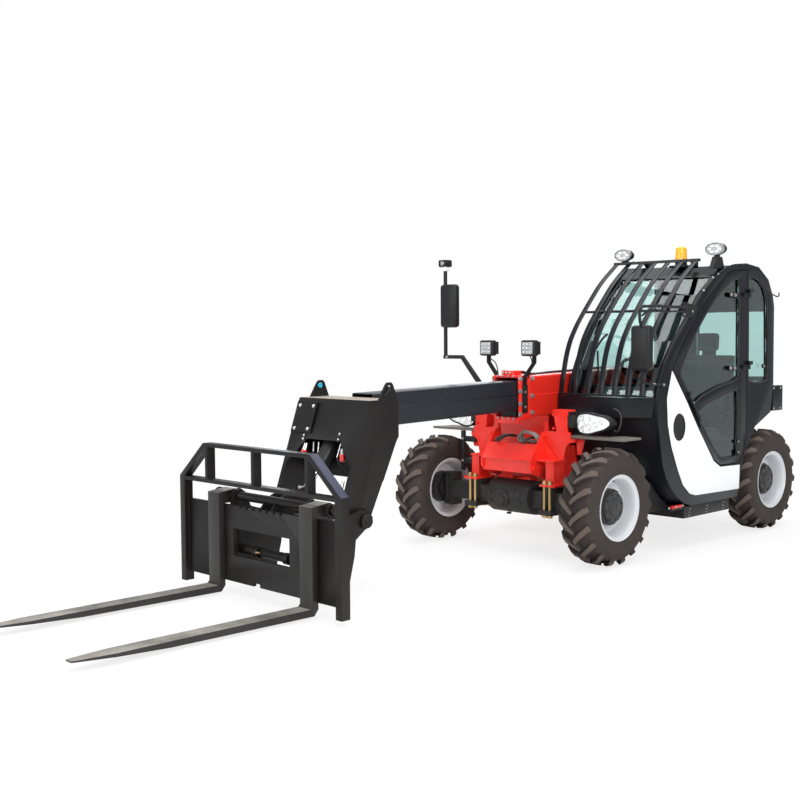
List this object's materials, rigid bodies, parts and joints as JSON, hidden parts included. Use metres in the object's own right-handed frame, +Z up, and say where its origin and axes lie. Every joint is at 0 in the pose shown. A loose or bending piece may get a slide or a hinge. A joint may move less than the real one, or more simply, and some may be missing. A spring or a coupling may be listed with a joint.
{
  "type": "telehandler",
  "caption": "Compact telescopic handler with an offset cab, a two-section boom and a hinged fork carriage; boom, forks, steering, wheels, door and hood move.",
  "frame": {"origin": "on the ground, below the middle of the plan box", "axes": "+Z up, the forks point along -Y, +X is the machine's left, where the cab is"},
  "size_m": [1.737, 6.016, 2.134],
  "materials": {
    "frame_red": "semi-gloss",
    "cab_black": "satin",
    "panel_white": "satin",
    "carriage_grey": "satin",
    "boom_black": "semi-gloss",
    "fork_steel": "satin",
    "barrel_black": "satin",
    "rod_chrome": "polished",
    "axle_dark": "satin",
    "stud_brass": "satin",
    "rim_white": "satin",
    "tyre_rubber": "matte",
    "window_glass": "clear",
    "trim_plastic": "matte",
    "lamp_shell": "gloss",
    "seat_fabric": "matte",
    "engine_iron": "satin",
    "exhaust_steel": "satin",
    "wear_pad": "matte"
  },
  "bodies": {
    "chassis": {"chassis_frame": "frame_red", "front_frame": "frame_red", "front_axle": "axle_dark", "rear_axle": "axle_dark", "axle_studs": "stud_brass", "cab_shell": "cab_black", "cab_side_panel": "panel_white", "windscreen": "window_glass", "cab_panes": "window_glass", "windscreen_guard": "cab_black", "seat": "seat_fabric", "dashboard": "trim_plastic", "engine_bay": "frame_red", "engine_block": "engine_iron", "exhaust": "exhaust_steel", "tail_box": "cab_black", "step_box": "trim_plastic", "fenders": "trim_plastic", "headlamps": "lamp_shell", "roof_lights": "lamp_shell", "mirrors": "trim_plastic"},
    "door": {"door_frame": "cab_black", "door_glass": "window_glass"},
    "hood": {"engine_hood": "frame_red"},
    "boom_base": {"outer_boom": "frame_red", "boom_lamps": "lamp_shell", "boom_pad": "wear_pad"},
    "boom_tip": {"inner_boom": "boom_black", "boom_head": "carriage_grey"},
    "fork_carriage": {"carriage": "carriage_grey", "forks": "fork_steel"},
    "lift_cylinder": {"lift_barrel": "barrel_black"},
    "lift_piston": {"lift_rod": "rod_chrome"},
    "tilt_cylinder": {"tilt_barrel": "barrel_black"},
    "tilt_piston": {"tilt_rod": "rod_chrome"},
    "steer_fl": {"knuckle_fl": "axle_dark"},
    "wheel_fl": {"rim_fl": "rim_white", "tyre_fl": "tyre_rubber"},
    "steer_fr": {"knuckle_fr": "axle_dark"},
    "wheel_fr": {"rim_fr": "rim_white", "tyre_fr": "tyre_rubber"},
    "steer_rl": {"knuckle_rl": "axle_dark"},
    "wheel_rl": {"rim_rl": "rim_white", "tyre_rl": "tyre_rubber"},
    "steer_rr": {"knuckle_rr": "axle_dark"},
    "wheel_rr": {"rim_rr": "rim_white", "tyre_rr": "tyre_rubber"}
  },
  "joints": [
    {"name": "boom_lift", "type": "hinge", "parent": "chassis", "child": "boom_base", "pos_m": [0, 2.76, 1.123], "axis": [-1, 0, 0], "range_deg": [0, 60]},
    {"name": "boom_extend", "type": "slide", "parent": "boom_base", "child": "boom_tip", "axis": [0, -0.9997, -0.0262], "range_m": [-0.9, 0.76]},
    {"name": "fork_tilt", "type": "hinge", "parent": "boom_tip", "child": "fork_carriage", "pos_m": [0, -1.135, 0.445], "axis": [1, 0, 0], "range_deg": [-15, 90]},
    {"name": "lift_cylinder_swing", "type": "hinge", "parent": "chassis", "child": "lift_cylinder", "pos_m": [0, 2.37, 0.56], "axis": [-1, 0, 0], "range_deg": [-1, 52.6]},
    {"name": "lift_piston_stroke", "type": "slide", "parent": "lift_cylinder", "child": "lift_piston", "axis": [0, -0.9167, 0.3996], "range_m": [-0.01, 0.674]},
    {"name": "tilt_cylinder_swing", "type": "hinge", "parent": "boom_tip", "child": "tilt_cylinder", "pos_m": [0, -0.91, 1.065], "axis": [1, 0, 0], "range_deg": [-3.4, 15.2]},
    {"name": "tilt_piston_stroke", "type": "slide", "parent": "tilt_cylinder", "child": "tilt_piston", "axis": [0, -0.6426, -0.7662], "range_m": [-0.054, 0.275]},
    {"name": "steer_fl", "type": "hinge", "parent": "chassis", "child": "steer_fl", "pos_m": [0.64, 0.59, 0.38], "axis": [0, 0, 1], "range_deg": [-32, 32]},
    {"name": "spin_fl", "type": "hinge", "parent": "steer_fl", "child": "wheel_fl", "pos_m": [0.741, 0.59, 0.38], "axis": [1, 0, 0], "continuous": true},
    {"name": "steer_fr", "type": "hinge", "parent": "chassis", "child": "steer_fr", "pos_m": [-0.64, 0.59, 0.38], "axis": [0, 0, 1], "range_deg": [-33, 33]},
    {"name": "spin_fr", "type": "hinge", "parent": "steer_fr", "child": "wheel_fr", "pos_m": [-0.741, 0.59, 0.38], "axis": [1, 0, 0], "continuous": true},
    {"name": "steer_rl", "type": "hinge", "parent": "chassis", "child": "steer_rl", "pos_m": [0.64, 2.566, 0.38], "axis": [0, 0, 1], "range_deg": [-25, 25]},
    {"name": "spin_rl", "type": "hinge", "parent": "steer_rl", "child": "wheel_rl", "pos_m": [0.741, 2.566, 0.38], "axis": [1, 0, 0], "continuous": true},
    {"name": "steer_rr", "type": "hinge", "parent": "chassis", "child": "steer_rr", "pos_m": [-0.64, 2.566, 0.38], "axis": [0, 0, 1], "range_deg": [-26, 26]},
    {"name": "spin_rr", "type": "hinge", "parent": "steer_rr", "child": "wheel_rr", "pos_m": [-0.741, 2.566, 0.38], "axis": [1, 0, 0], "continuous": true},
    {"name": "cab_door", "type": "hinge", "parent": "chassis", "child": "door", "pos_m": [0.846, 2.22, 1.2], "axis": [0, 0, 1], "range_deg": [0, 85]},
    {"name": "engine_hood_lift", "type": "hinge", "parent": "chassis", "child": "hood", "pos_m": [-0.152, 1.87, 1.085], "axis": [0, 1, 0], "range_deg": [0, 65]}
  ],
  "couplings": [
    {"joint": "lift_cylinder_swing", "follows": "boom_lift", "ratio": 0.8601},
    {"joint": "lift_piston_stroke", "follows": "boom_lift", "m_per_rad": 0.6345},
    {"joint": "tilt_cylinder_swing", "follows": "fork_tilt", "ratio": 0.1573},
    {"joint": "tilt_piston_stroke", "follows": "fork_tilt", "m_per_rad": 0.1689},
    {"joint": "steer_fr", "follows": "steer_fl", "ratio": 1},
    {"joint": "steer_rr", "follows": "steer_rl", "ratio": 1}
  ]
}
